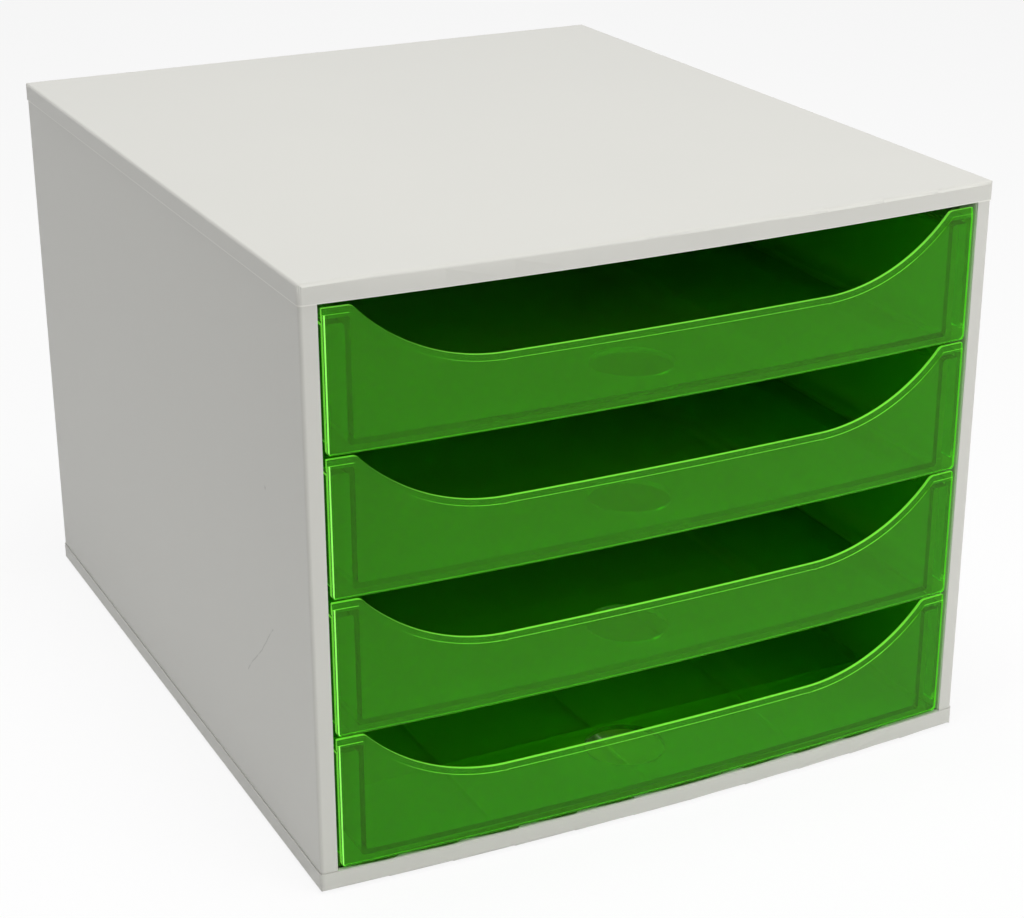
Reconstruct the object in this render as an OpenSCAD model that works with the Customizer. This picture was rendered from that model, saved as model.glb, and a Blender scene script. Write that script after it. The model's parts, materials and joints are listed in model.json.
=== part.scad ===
// Desktop drawer set: a casing of two covers, two side panels and a back panel,
// with four one-piece drawers that slide in channels on the side panels.
// X is the width, -Y is the front, Z is up and the set stands on Z = 0.

/* [Casing] */
// Width over the covers
case_w = 284; // [268:1:310]
// Depth along the sides, from corner to corner
case_d = 331; // [300:1:360]
// Height of the casing without its feet
case_h = 234; // [218:1:256]
// How far the middle of the front stands forward of its corners
front_bow = 5; // [3:0.5:8]
// Wall of the top and base covers
cover_wall = 2.4; // [2:0.1:3]
// Height of the covers' rims
rim_h = 7.5; // [6.5:0.5:10]
// Radius along the covers' outer edges
edge_r = 1.2; // [0.6:0.1:1.8]
// Radius of the casing's upright corners
corner_r = 2; // [1:0.1:3]
// Step back of the panels behind the covers
reveal = 0.4; // [0.2:0.1:0.7]
// Open seam between a cover and a panel
seam = 0.15; // [0.1:0.05:0.3]

/* [Panels] */
// Wall of the side and back panels
panel_wall = 2.5; // [2:0.1:3]
// Width of the front stiles, from the covers' sides
stile_w = 6.9; // [6:0.1:9]
// Depth of the hollow stiles
stile_d = 11; // [8:1:16]
// Wall of the stile's inner lip
lip_t = 1.6; // [1.2:0.1:2.2]
// Chamfer along the stile's inner edge
lip_chamfer = 0.5; // [0.2:0.1:0.8]
// Width of the rear return that the back panel rests on
rear_lip = 2; // [1.5:0.1:3]
// Thickness of the tongues that plug into the covers
tongue_t = 1.8; // [1.4:0.1:2.2]
// Height of the tongues
tongue_h = 4; // [3:0.5:4.5]
// Clearance round a tongue
tongue_gap = 0.15; // [0.1:0.05:0.3]
// Height of the shoulder that a tongue stands on
shoulder_h = 4; // [3:0.5:6]
// Number of snap lugs along each side tongue
lug_count = 3; // [2:1:5]
// Length of a snap lug
lug_w = 16; // [10:1:24]
// How far a snap lug stands out of its tongue
lug_out = 0.7; // [0.5:0.1:0.9]

/* [Runners] */
// Thickness of the ledge that carries a drawer
rail_t = 2; // [1.5:0.1:3]
// Thickness of the ledge that stops a drawer from tipping
guard_t = 1.6; // [1.2:0.1:2]
// Play under a drawer's flange
rail_gap = 0.3; // [0.2:0.05:0.5]
// Play between a ledge and the drawer's side wall
rail_side_gap = 0.8; // [0.5:0.1:1.5]
// Height of the channel above a drawer's flange
channel_h = 3; // [2.7:0.1:3.4]
// Thickness of ribs, fins and rear returns
rib_t = 1.5; // [1.2:0.1:2]
// How far a drawer slides out before its stop
travel = 260; // [180:5:275]
// Length of the stop in each channel
stop_len = 5; // [3:0.5:8]
// Play over a drawer's stop tabs and under the channel's stops
stop_play = 0.8; // [0.5:0.1:1]

/* [Drawers] */
// Gap above the top drawer's ears
top_gap = 2.15; // [1.5:0.05:3]
// Gap under the lowest drawer
bottom_gap = 0.8; // [0.5:0.05:1.5]
// Gap between one drawer front and the next
front_gap = 1.35; // [0.8:0.05:2]
// Gap between a drawer front and a stile
side_gap = 1.7; // [1:0.1:2.5]
// Step back of the drawer fronts behind the casing's front
front_set = 0.7; // [0.4:0.1:1.5]
// Wall of the drawer fronts
front_wall = 2.2; // [1.8:0.1:3]
// Wall of the drawer's sides and back
tray_wall = 2; // [1.4:0.1:2.4]
// Thickness of the drawer's floor
floor_t = 2.2; // [1.8:0.1:3]
// How far a drawer front reaches below its floor
skirt_h = 2.3; // [1.5:0.1:4]
// Depth of the scoop in a drawer front
scoop_drop = 25; // [18:1:30]
// Radius of the scoop's two sweeps
scoop_r = 75; // [60:1:90]
// Width of each ear, up to the scoop
ear_w = 10.8; // [9:0.1:14]
// Radius on the inner corner of each ear
ear_r = 3; // [2.6:0.1:5]
// Height of the step along the top of a drawer front
rim_band = 2.3; // [1.5:0.1:2.5]
// Depth of that step
rim_step = 0.4; // [0.2:0.1:0.6]
// Radius of a drawer front's bottom corners
toe_r = 1.8; // [1:0.1:3]
// Width of the runner flange on each side
flange_w = 8.4; // [6.5:0.1:9]
// Thickness of the runner flange
flange_t = 2; // [1.6:0.1:2.6]
// Drop from the ears to the top of the flange
flange_drop = 4.2; // [3.6:0.1:6]
// Depth of the returns at the ends of a drawer front
return_d = 7; // [4:0.5:9]
// Wall of those returns
return_t = 1.6; // [1.2:0.1:2]
// Radius of a drawer's rear corners
tray_r = 6; // [3:0.5:12]
// Space between a drawer and the back panel
rear_space = 8; // [4:0.1:12]
// Length of a stop tab on the flange
tab_len = 8; // [5:0.5:12]
// Width of a stop tab
tab_w = 3; // [2:0.1:4]
// Cut across the flange's rear corner
flange_cut = 4; // [2:0.5:5]
// Diameter of the thumb hole in a drawer's floor
hole_d = 32; // [24:1:40]
// Centre of the thumb hole behind the middle of the drawer front
hole_back = 31; // [26:1:45]

/* [Ribs] */
// Height of the ribs inside the covers
rib_h = 3; // [2:0.1:3.5]
// Number of ribs across each cover
cross_ribs = 5; // [3:1:9]
// Number of ribs along each cover
long_ribs = 3; // [1:1:6]
// Width of the uprights that the drawers come to rest on
upright_w = 3; // [2:0.5:6]

/* [Feet] */
// Diameter of a foot
foot_d = 14; // [10:1:20]
// Height of a foot below the casing
foot_proud = 1; // [0.6:0.1:2]
// Depth of the seat that a foot is stuck into
foot_seat = 0.8; // [0.5:0.1:1.2]
// Centre of a foot from the sides of the casing
foot_inset = 20; // [14:1:40]

/* [Hidden] */
$fn = 64;
// the front's long arc is drawn with a segment each half degree
bow_fn = 720;
shell_grey = [0.83, 0.83, 0.80];
drawer_green = [0.18, 0.55, 0.10];
foot_grey = [0.35, 0.35, 0.35];
eps = 0.01;
// play that lets a piece sit in its seat, and a stop come to rest
fit = 0.3;
// a size past the casing in any direction, for cutting
far = 500;

// casing
y_back = (case_d + front_bow) / 2;
y_front = -y_back;
y_corner = y_front + front_bow;
bow_r = (pow(case_w / 2, 2) + pow(front_bow, 2)) / (2 * front_bow);
bow_y = y_front + bow_r;
z_base = foot_proud;
z_top = z_base + case_h;
z_low = z_base + rim_h;
z_high = z_top - rim_h;
open_h = z_high - z_low;

// panels
skin_x = case_w / 2 - reveal;
skin_in = skin_x - panel_wall;
stile_in = case_w / 2 - stile_w;
tongue_x = case_w / 2 - cover_wall - tongue_gap;
y_panel_back = y_back - reveal;
y_back_in = y_panel_back - panel_wall;

// drawers
drawer_count = 4;
front_h = (open_h - top_gap - bottom_gap - (drawer_count - 1) * front_gap) / drawer_count;
front_w = 2 * (stile_in - side_gap);
front_r = bow_r - front_set;
tray_w = front_w - 2 * flange_w;
tray_back = y_back_in - rear_space;
flange_z = front_h - flange_drop - flange_t;
scoop_z = front_h - scoop_drop + scoop_r;
scoop_x = front_w / 2 - ear_w - sqrt(pow(scoop_r, 2) - pow(scoop_r - scoop_drop, 2));
ear_x = scoop_x + sqrt(pow(scoop_r + ear_r, 2) - pow(scoop_r - scoop_drop + ear_r, 2));
scoop_a = atan2(scoop_r - scoop_drop + ear_r, ear_x - scoop_x);
hole_y = y_front + front_set + hole_back;
flange_back = tray_back - tray_r;
tab_h = channel_h - stop_play;
tab_y = flange_back - flange_cut - tab_len;

// runners
rail_x = tray_w / 2 + rail_side_gap;
guard_x = tray_w / 2 + flange_w / 2;
rail_front = y_corner + stile_d + shoulder_h;
rail_back = y_back_in - 2 * rear_space;
stop_y = tab_y - travel - fit - stop_len;

function drawer_z(i) = z_low + bottom_gap + (drawer_count - i) * (front_h + front_gap);

// The casing's outline from above, moved in by inset.
module casing_plan(inset) {
    w = case_w / 2 - inset;
    r = max(corner_r - inset, 0.5);
    big = bow_r - inset;
    back = y_back - inset;
    x = w - r;
    y = bow_y - sqrt(pow(big - r, 2) - pow(x, 2));
    touch = x * big / (big - r);
    intersection() {
        translate([0, bow_y]) circle(big, $fn = bow_fn);
        translate([-touch, y_front - 1]) square([2 * touch, y - y_front + 1]);
    }
    translate([-w, y]) square([2 * w, back - r - y]);
    translate([-x, y]) square([2 * x, back - y]);
    for (sx = [-1, 1], cy = [y, back - r])
        translate([sx * x, cy]) circle(r);
}

// A flat-bottomed block h high whose upper outer corner on the +X side is rounded.
module edged(x0, x1, h) {
    square_w = x1 - x0;
    translate([x0, 0]) square([square_w - edge_r, h]);
    translate([x0, 0]) square([square_w, h - edge_r]);
    translate([x1 - edge_r, h - edge_r]) circle(edge_r);
}

// A cover's outer form: plate up, its rim's edge at Z = 0.
module cover_form() {
    deep = 8 * front_bow;
    sweep = 10;
    intersection() {
        linear_extrude(rim_h) casing_plan(0);
        union() {
            translate([0, bow_y, 0])
                rotate([0, 0, -90 - sweep / 2])
                    rotate_extrude(angle = sweep, $fn = bow_fn) edged(bow_r - deep, bow_r, rim_h);
            translate([-case_w, y_front + deep / 2, 0]) cube([2 * case_w, case_d, rim_h]);
        }
        rotate([90, 0, 0])
            linear_extrude(2 * case_d, center = true) {
                edged(0, case_w / 2, rim_h);
                mirror([1, 0]) edged(0, case_w / 2, rim_h);
            }
        rotate([90, 0, 90])
            linear_extrude(2 * case_w, center = true) edged(-case_d, y_back, rim_h);
    }
}

// Places of the snap lugs along a side.
function lug_y(i) = y_corner + case_d * (i + 0.5) / lug_count;

// A cover with its plate up: rim, stiffening ribs, tongue grooves and snap pockets.
module cover() {
    inner = rim_h - cover_wall;
    groove = tongue_t + 2 * tongue_gap;
    rib_x = case_w / 2 - cover_wall - groove - rib_t;
    rib_y = y_back - cover_wall - groove - rib_t;
    rib_front = y_corner + stile_d;
    pocket_w = lug_out + tongue_gap;
    difference() {
        cover_form();
        translate([0, 0, -eps]) linear_extrude(inner + eps) casing_plan(cover_wall);
        for (i = [0 : lug_count - 1], s = [-1, 1])
            translate([s * (case_w / 2 - cover_wall + (pocket_w - eps) / 2), lug_y(i), tongue_h / 2])
                cube([pocket_w + eps, lug_w + 2 * fit, tongue_h / 2 + 2 * fit], center = true);
    }
    translate([0, 0, inner - rib_h]) {
        // fins beside the tongues
        for (s = [0, 1])
            mirror([s, 0, 0])
                translate([rib_x, rib_front + fit, 0])
                    cube([rib_t, rib_y + rib_t - rib_front - fit, rib_h + eps]);
        translate([-rib_x, rib_y, 0]) cube([2 * rib_x, rib_t, rib_h + eps]);
        // stiffening ribs under the plate
        for (i = [1 : cross_ribs])
            translate([-rib_x, y_corner + case_d * i / (cross_ribs + 1) - rib_t / 2, 0])
                cube([2 * rib_x, rib_t, rib_h + eps]);
        for (i = [1 : long_ribs])
            translate([-rib_x + 2 * rib_x * i / (long_ribs + 1) - rib_t / 2, rib_front, 0])
                cube([rib_t, rib_y - rib_front, rib_h + eps]);
    }
}

module top_cover() {
    color(shell_grey) translate([0, 0, z_high]) cover();
}

function foot_places() = [
    for (sy = [-1, 1], sx = [-1, 1])
        [sx * (case_w / 2 - foot_inset), sy > 0 ? y_back - foot_inset : y_corner + foot_inset]
];

module base_cover() {
    color(shell_grey)
        difference() {
            translate([0, 0, z_low]) mirror([0, 0, 1]) cover();
            for (p = foot_places())
                translate([p.x, p.y, z_base - eps])
                    cylinder(d = foot_d + 2 * fit, h = foot_seat + eps);
        }
}

// Plan of the right side panel: skin, hollow front stile and rear return.
module side_plan() {
    return_y = y_back_in - tongue_gap - rib_t;
    difference() {
        intersection() {
            casing_plan(reveal);
            translate([stile_in, y_front]) square([stile_w, 2 * y_back]);
        }
        // hollow of the stile
        translate([stile_in + lip_t, y_corner + panel_wall])
            square([skin_in - stile_in - lip_t, stile_d]);
        // open side behind the stile, with the rear return left standing
        translate([stile_in - 1, y_corner + stile_d])
            square([skin_in - rear_lip - stile_in + 1, case_d]);
        translate([stile_in, y_corner + stile_d])
            square([skin_in - stile_in, return_y - y_corner - stile_d]);
        // seat of the back panel
        translate([stile_in - 1, return_y + rib_t])
            square([skin_in - stile_in + 1, case_d]);
        // chamfer that faces the opening
        translate([stile_in, y_corner + reveal])
            rotate(45) square(lip_chamfer * sqrt(2), center = true);
    }
}

// A drawer's channel: ledge, guard above it and the stop at its front.
module channel(i) {
    flange_top = drawer_z(i) + flange_z + flange_t;
    ledge_z = drawer_z(i) + flange_z - rail_gap - rail_t;
    guard_z = flange_top + channel_h;
    len = rail_back - rail_front;
    guard_w = skin_in - guard_x + eps;
    translate([rail_x, rail_front, ledge_z]) cube([skin_in - rail_x + eps, len, rail_t]);
    translate([guard_x, rail_front, guard_z]) cube([guard_w, len, guard_t]);
    translate([guard_x, stop_y, flange_top + stop_play]) cube([guard_w, stop_len, tab_h + eps]);
}

// Tongue along one long edge of a side panel, with its shoulder and snap lugs.
module side_tongue() {
    front = y_corner + stile_d + 2 * fit;
    len = y_back_in - cover_wall - tongue_t - front;
    in_x = tongue_x - tongue_t;
    translate([in_x, front, -shoulder_h]) cube([skin_x - reveal - in_x, len, shoulder_h]);
    translate([in_x, front, -eps]) cube([tongue_t, len, tongue_h + eps]);
    for (i = [0 : lug_count - 1])
        translate([tongue_x - eps, lug_y(i) - lug_w / 2, tongue_h / 4 + seam])
            cube([lug_out + eps, lug_w, tongue_h / 2]);
}

module side_panel() {
    low = z_low + seam;
    high = z_high - seam;
    translate([0, 0, low]) linear_extrude(high - low) side_plan();
    translate([0, 0, high]) side_tongue();
    translate([0, 0, low]) mirror([0, 0, 1]) side_tongue();
    for (i = [1 : drawer_count]) channel(i);
}

module right_side_panel() {
    color(shell_grey) side_panel();
}

module left_side_panel() {
    color(shell_grey) mirror([1, 0, 0]) side_panel();
}

// Tongue along the top edge of the back panel, with its shoulder.
module back_tongue() {
    half = stile_in - tongue_h - tongue_t;
    in_y = y_back - cover_wall - tongue_gap - tongue_t;
    translate([-half, in_y, -shoulder_h]) cube([2 * half, y_back_in + reveal - in_y, shoulder_h]);
    translate([-half, in_y, -eps]) cube([2 * half, tongue_t, tongue_h + eps]);
}

module back_panel() {
    low = z_low + seam;
    high = z_high - seam;
    half = skin_in - tongue_gap;
    color(shell_grey) {
        translate([-half, y_back_in, low]) cube([2 * half, panel_wall, high - low]);
        translate([0, 0, high]) back_tongue();
        translate([0, 0, low]) mirror([0, 0, 1]) back_tongue();
        // uprights that the drawers come to rest on
        for (s = [-1, 1])
            translate([s * tray_w / 4 - upright_w / 2, tray_back + fit, low])
                cube([upright_w, y_back_in - tray_back - fit + eps, high - low]);
    }
}

// Points along an arc about c, after its start, from one angle to another.
function arc(c, r, from, to, steps) = [
    for (i = [1 : steps])
        let (a = from + (to - from) * i / steps)
            [c.x + r * cos(a), c.y + r * sin(a)]
];

function mirrored(points) = [for (i = [len(points) - 1 : -1 : 0]) [-points[i].x, points[i].y]];

// The left half of a front's upper edge, moved in by inset: ear, its corner and the sweep.
function left_edge(inset) = concat(
    [[-front_w / 2, front_h - inset], [-ear_x, front_h - inset]],
    arc([-ear_x, front_h - ear_r], ear_r - inset, 90, scoop_a, 8),
    arc([-scoop_x, scoop_z], scoop_r + inset, 180 + scoop_a, 270, 24)
);

function upper_edge(inset) = concat(left_edge(inset), mirrored(left_edge(inset)));

// The left toe of a front, from the middle up to its side.
function left_toe() = concat(
    [[toe_r - front_w / 2, 0]],
    arc([toe_r - front_w / 2, toe_r], toe_r, -90, -180, 6)
);

// Arched slab of the drawer front between two depths behind its face.
module front_slab(from, to) {
    linear_extrude(front_h)
        intersection() {
            difference() {
                translate([0, bow_y]) circle(front_r - from, $fn = bow_fn);
                translate([0, bow_y]) circle(front_r - to, $fn = bow_fn);
            }
            translate([-front_w / 2, y_front - front_bow]) square([front_w, 4 * front_bow]);
        }
}

// Drives an outline drawn square on through the front.
module through_front() {
    translate([0, y_front, 0])
        rotate([90, 0, 0])
            linear_extrude(8 * front_bow, center = true) children();
}

// Arched face with its scooped edge, and the band along that edge set back a little.
module drawer_front() {
    difference() {
        intersection() {
            front_slab(0, front_wall);
            through_front() polygon(concat(upper_edge(0), mirrored(left_toe()), left_toe()));
        }
        intersection() {
            linear_extrude(far)
                difference() {
                    translate([-far / 2, y_front - front_bow]) square([far, 4 * front_bow]);
                    translate([0, bow_y]) circle(front_r - rim_step, $fn = bow_fn);
                }
            through_front()
                polygon(concat(
                    [[-far / 2, front_h - rim_band]],
                    upper_edge(rim_band),
                    [[far / 2, front_h - rim_band], [far / 2, far / 2], [-far / 2, far / 2]]
                ));
        }
    }
}

// Plan of the tray behind the front, moved in by inset.
module tray_plan(inset) {
    w = tray_w / 2 - inset;
    r = tray_r - inset;
    back = tray_back - inset;
    translate([-w, y_front]) square([2 * w, back - r - y_front]);
    translate([-w + r, y_front]) square([2 * (w - r), back - y_front]);
    for (s = [-1, 1])
        translate([s * (w - r), back - r]) circle(r);
}

// Keeps what lies behind the middle of the front's wall.
module behind_front() {
    intersection() {
        children();
        translate([0, bow_y, 0]) cylinder(r = front_r - front_wall / 2, h = front_h, $fn = bow_fn);
    }
}

// The right flange, with its rear corner cut.
module flange_plan() {
    in_x = (tray_w - tray_wall) / 2;
    polygon([
        [in_x, y_front],
        [front_w / 2, y_front],
        [front_w / 2, flange_back - flange_cut],
        [front_w / 2 - flange_cut, flange_back],
        [in_x, flange_back],
    ]);
}

// A whole drawer, with the lowest edge of its front at Z = 0.
module drawer() {
    floor_top = skirt_h + floor_t;
    drawer_front();
    behind_front()
        difference() {
            translate([0, 0, skirt_h]) linear_extrude(floor_t) tray_plan(0);
            // thumb hole
            translate([0, hole_y, 0]) cylinder(d = hole_d, h = front_h);
        }
    // side and rear walls
    behind_front()
        translate([0, 0, skirt_h])
            linear_extrude(flange_z + flange_t - skirt_h)
                difference() {
                    tray_plan(0);
                    tray_plan(tray_wall);
                }
    for (s = [0, 1])
        mirror([s, 0, 0]) {
            behind_front() translate([0, 0, flange_z]) linear_extrude(flange_t) flange_plan();
            // return at the end of the front
            behind_front()
                translate([front_w / 2 - return_t, y_front, floor_top])
                    cube([return_t, front_bow + front_set + return_d, flange_z + flange_t / 2 - floor_top]);
            // stop tab, steep in front and sloped behind
            translate([front_w / 2 - tab_w, tab_y, flange_z + flange_t - eps])
                rotate([90, 0, 90])
                    linear_extrude(tab_w - fit)
                        polygon([[0, 0], [0, tab_h], [tab_len / 2, tab_h], [tab_len, 0]]);
        }
}

module drawer_at(i) {
    color(drawer_green) translate([0, 0, drawer_z(i)]) drawer();
}

module drawer_1() { drawer_at(1); }
module drawer_2() { drawer_at(2); }
module drawer_3() { drawer_at(3); }
module drawer_4() { drawer_at(4); }

module foot_at(i) {
    p = foot_places()[i];
    color(foot_grey) translate([p.x, p.y, 0]) cylinder(d = foot_d, h = foot_proud + foot_seat);
}

module foot_front_left() { foot_at(0); }
module foot_front_right() { foot_at(1); }
module foot_rear_left() { foot_at(2); }
module foot_rear_right() { foot_at(3); }

top_cover();
base_cover();
left_side_panel();
right_side_panel();
back_panel();
drawer_1();
drawer_2();
drawer_3();
drawer_4();
foot_front_left();
foot_front_right();
foot_rear_left();
foot_rear_right();
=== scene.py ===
"""Dresses a desktop drawer set: a light grey casing and four scooped, see-through green drawers.

Everything is in metres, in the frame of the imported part: X to the right, -Y out of the front, Z up.
"""
import json
import math

import bmesh
import bpy
from bpy.props import FloatProperty, FloatVectorProperty, IntProperty, PointerProperty
from mathutils import Matrix, Vector
from mathutils.bvhtree import BVHTree


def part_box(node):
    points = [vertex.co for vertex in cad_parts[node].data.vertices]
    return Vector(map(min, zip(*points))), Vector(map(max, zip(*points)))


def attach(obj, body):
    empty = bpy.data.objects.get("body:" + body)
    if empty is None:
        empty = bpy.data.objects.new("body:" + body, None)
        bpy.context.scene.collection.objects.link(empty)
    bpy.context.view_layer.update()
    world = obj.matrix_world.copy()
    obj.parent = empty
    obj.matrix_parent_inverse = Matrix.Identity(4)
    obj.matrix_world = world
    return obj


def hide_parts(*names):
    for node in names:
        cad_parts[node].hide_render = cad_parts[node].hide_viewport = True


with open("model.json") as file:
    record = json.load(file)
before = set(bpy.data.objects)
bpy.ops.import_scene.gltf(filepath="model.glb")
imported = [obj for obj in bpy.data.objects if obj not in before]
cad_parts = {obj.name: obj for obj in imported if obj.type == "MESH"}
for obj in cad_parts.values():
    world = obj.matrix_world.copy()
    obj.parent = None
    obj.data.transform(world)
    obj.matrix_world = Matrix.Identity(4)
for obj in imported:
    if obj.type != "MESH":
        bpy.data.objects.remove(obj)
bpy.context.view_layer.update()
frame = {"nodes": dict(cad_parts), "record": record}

bl_info = {
    "name": "Desktop drawer set",
    "version": (1, 0, 0),
    "blender": (4, 5, 0),
    "location": "3D View > Sidebar > Drawer set",
    "description": "Models and finishes a casing with four scooped drawers",
    "category": "Add Mesh",
}

CASING = ("top_cover", "base_cover", "left_side_panel", "right_side_panel", "back_panel")
DRAWERS = ("drawer_1", "drawer_2", "drawer_3", "drawer_4")
FEET = ("foot_front_left", "foot_front_right", "foot_rear_left", "foot_rear_right")
BODY_OF = {
    node: body
    for body, nodes in frame["record"]["behaviour"]["bodies"].items()
    for node in nodes}

MM = 0.001

# Signs of the left and the right side.
SIDES = (-1, 1)

# Lengths that count as equal, doubles that are welded and crumbs that are taken out.
CLOSE = 0.01 * MM
WELD = 0.001 * MM
CRUMB = 0.05 * MM

# An edge is sharp above the first angle, and two faces are one flat face below the second.
SHARP = math.radians(30)
FLAT = math.radians(0.2)

# A point off to one side, from which mirrored corners lie at different distances.
OFF_CENTRE = (1.13, 0.71, 0.37)

# How far cutters reach past a piece, how far before the front the tray's walls start until they
# are trimmed to its bow, how far before it the band's cutter starts, and how far the bowed plates
# pass its sides until they are cut to its outline.
BEYOND = 20 * MM
BEFORE = BEYOND / 2
AHEAD = BEYOND / 4
ASIDE = BEYOND / 10

# How much further a bowed plate swings than it needs to, until its ends are cut off square.
SPARE_SWING = 1.02

# The slope at a stop tab's rear end drops by this share of the tab's height.
TAB_SLOPE = 0.98

# Segments of the roundings and steps of the short arcs, and sides of the round pieces.
EDGE_SEGMENTS = 3
FILLET_SEGMENTS = 4
LIP_SEGMENTS = 5
CORNER_SEGMENTS = 8
EAR_STEPS = 8
TOE_STEPS = 6
HOLE_SIDES = 72
FOOT_SIDES = 64

# The flat rim round a foot's dish, as a share of the foot's diameter.
FOOT_RIM = 1 / 8

# The face attribute that sets each drawer face's share of painted glow: a brighter colour and
# emission that stand in for light gathered in the plastic.
PAINTED_GLOW_ATTRIBUTE = "edge_light"

# The painted highlight line along the seam under the top cover.
SEAM_HIGHLIGHT_HALF_WIDTH = 0.45 * MM

# The marks of use on the left side, which are kept to the faces beyond one X and are placed
# by their Y and Z.
LEFT_SIDE_X = -0.14
SCRATCH_START = Vector((-0.1239, 0.0911))
SCRATCH_END = Vector((-0.0935, 0.0613))
SCRATCH_HALF_WIDTH = 0.45 * MM
SCRATCH_WANDER = 3 * MM
SPECK = Vector((-0.1221, 0.1473))
SPECK_RADIUS = 1.1 * MM

WHITE = (1.0, 1.0, 1.0, 1.0)

# A Mix node's colour sockets by number, because its number sockets have the same names.
FIRST_COLOUR, SECOND_COLOUR, MIXED_COLOUR = 6, 7, 2

# The stage: the floor's width, the point that the lamps face, each lamp's width and place, and
# the camera's place, its sensor's width in millimetres and how far it sees.
FLOOR_WIDTH = 12
LIT_POINT = (0, 0, 0.12)
LAMPS = {
    "key": (0.9, (-0.1, -0.2, 1.85)),
    "left": (1.2, (-2.0, -0.6, 0.9)),
    "right": (1.0, (1.0, -1.0, 0.6)),
    "low": (1.5, (0.5, -1.6, 0.6)),
}
CAMERA_PLACE = (-0.3959, -0.8297, 0.4645)
SENSOR_WIDTH = 36.0
FARTHEST_SEEN = 50.0


def length(name, description, default_mm):
    """A size that a user can change, given in millimetres and kept in metres."""
    return FloatProperty(
        name=name, description=description, default=default_mm * MM, min=0.0,
        unit="LENGTH", subtype="DISTANCE", precision=4)


def colour(name, description, default):
    """A surface colour, in linear light."""
    return FloatVectorProperty(
        name=name, description=description, default=default, size=3, min=0.0, max=1.0,
        subtype="COLOR")


def share(name, description, default, most=1.0):
    """A plain number from nothing up to most."""
    return FloatProperty(name=name, description=description, default=default, min=0.0, max=most)


def watts(name, description, default):
    """The power of a lamp."""
    return share(name, description, default, most=1000.0)


def angle(name, description, degrees):
    """An angle, given in degrees and kept in radians."""
    return FloatProperty(
        name=name, description=description, default=math.radians(degrees), subtype="ANGLE")


def steps(name, description, default):
    """A whole number of steps along a curve."""
    return IntProperty(name=name, description=description, default=default, min=6)


class DrawerSizes(bpy.types.PropertyGroup):
    """Sizes of a drawer."""

    bow: length("Front bow", "How far the front's middle stands before its corners", 5)
    front_wall: length("Front wall", "Thickness of the drawer front", 2.2)
    wall: length("Tray wall", "Thickness of the tray's sides, back and flanges", 2)
    floor: length("Floor", "Thickness of the drawer's floor", 2.2)
    skirt: length("Skirt", "How far the front reaches below the floor", 2.3)
    scoop_drop: length("Scoop depth", "Depth of the scoop below the ears", 25)
    scoop_radius: length("Scoop radius", "Radius of the scoop's two sweeps", 75)
    ear_width: length("Ear width", "Width of an ear, up to the scoop", 10.8)
    ear_radius: length("Ear radius", "Radius on an ear's inner corner", 3)
    band_height: length("Band height", "Height of the set-back band along the edge", 2.3)
    band_step: length("Band step", "Depth of that band", 0.4)
    toe_radius: length("Toe radius", "Radius of the front's lower corners", 1.8)
    flange_width: length("Flange width", "Width of a runner flange", 8.4)
    flange_drop: length("Flange drop", "Drop from the ears to the flange's top", 4.2)
    flange_cut: length("Flange cut", "Chamfer on a flange's rear corner", 4)
    tray_radius: length("Tray corner", "Radius of the tray's rear corners", 6)
    floor_fillet: length("Floor fillet", "Radius along the floor's outer edges", 1.5)
    lip_fillet: length("Lip fillet", "Radius where a side wall turns into its flange", 1.4)
    return_depth: length("Return depth", "Depth of the returns at the front's ends", 7)
    return_wall: length("Return wall", "Thickness of those returns", 1.6)
    hole_diameter: length("Thumb hole", "Diameter of the thumb hole", 32)
    hole_back: length("Thumb hole place", "Centre of the thumb hole behind the front", 31)
    tab_length: length("Tab length", "Length of a stop tab", 8)
    tab_width: length("Tab width", "Width of a stop tab", 2.2)
    tab_inset: length("Tab inset", "Step back of a stop tab from the flange's edges", 0.8)
    tab_height: length("Tab height", "Height of a stop tab", 2.2)
    edge: length("Edge rounding", "Rounding on the moulding's edges", 0.35)
    # The two glow lengths shape the painted edge glow, which stands in for light gathered in the
    # plastic.
    glow_start: length("Glow start", "Plastic behind a face from which it gathers light", 3)
    glow_full: length("Full glow", "Plastic behind a face that makes it bright as an edge", 8)
    bow_steps: steps("Bow steps", "Strips round the front's bow", 48)
    sweep_steps: steps("Sweep steps", "Steps along one of the scoop's sweeps", 28)


class FootSizes(bpy.types.PropertyGroup):
    """Sizes of the shape under a foot."""

    foot_edge: length("Foot rounding", "Rounding under a foot", 0.35)
    foot_dish: length("Foot dish", "Depth of the dish under a foot", 0.2)


class Finishes(bpy.types.PropertyGroup):
    """Colours and surfaces."""

    shell: colour("Casing", "Light warm grey plastic", (0.60, 0.595, 0.555))
    drawer: colour("Drawers", "Clear leaf green plastic", (0.18, 0.77, 0.02))
    # Painted glow: the drawers' edges get this brighter colour and also emit it, standing in for
    # light gathered in the plastic.
    drawer_painted_glow: colour("Drawer edges", "Light gathered at the edges", (0.25, 0.95, 0.07))
    foot: colour("Feet", "Dark grey rubber", (0.035, 0.035, 0.037))
    shell_roughness: share("Casing roughness", "Satin of the casing", 0.36)
    shell_shine: share("Casing shine", "Strength of the casing's reflections", 0.35)
    drawer_roughness: share("Drawer roughness", "Gloss of the drawers", 0.06)
    clarity: share("Clarity", "How much light goes through the drawers", 0.86)
    edge_clarity: share("Edge clarity", "How much light goes through their edges", 0.1)
    # Strength of the painted glow that the drawers' edges emit.
    painted_glow_strength: share("Edge glow", "Strength of the light that leaves the edges", 0.4)
    # Painted highlight: how much lighter the line under the top cover is painted.
    seam_painted_highlight: share("Seam light", "How much brighter the line under the top cover is", 0.35)
    refraction: share("Refraction", "Index of the drawers' thin walls", 1.2, 3.0)


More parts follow.
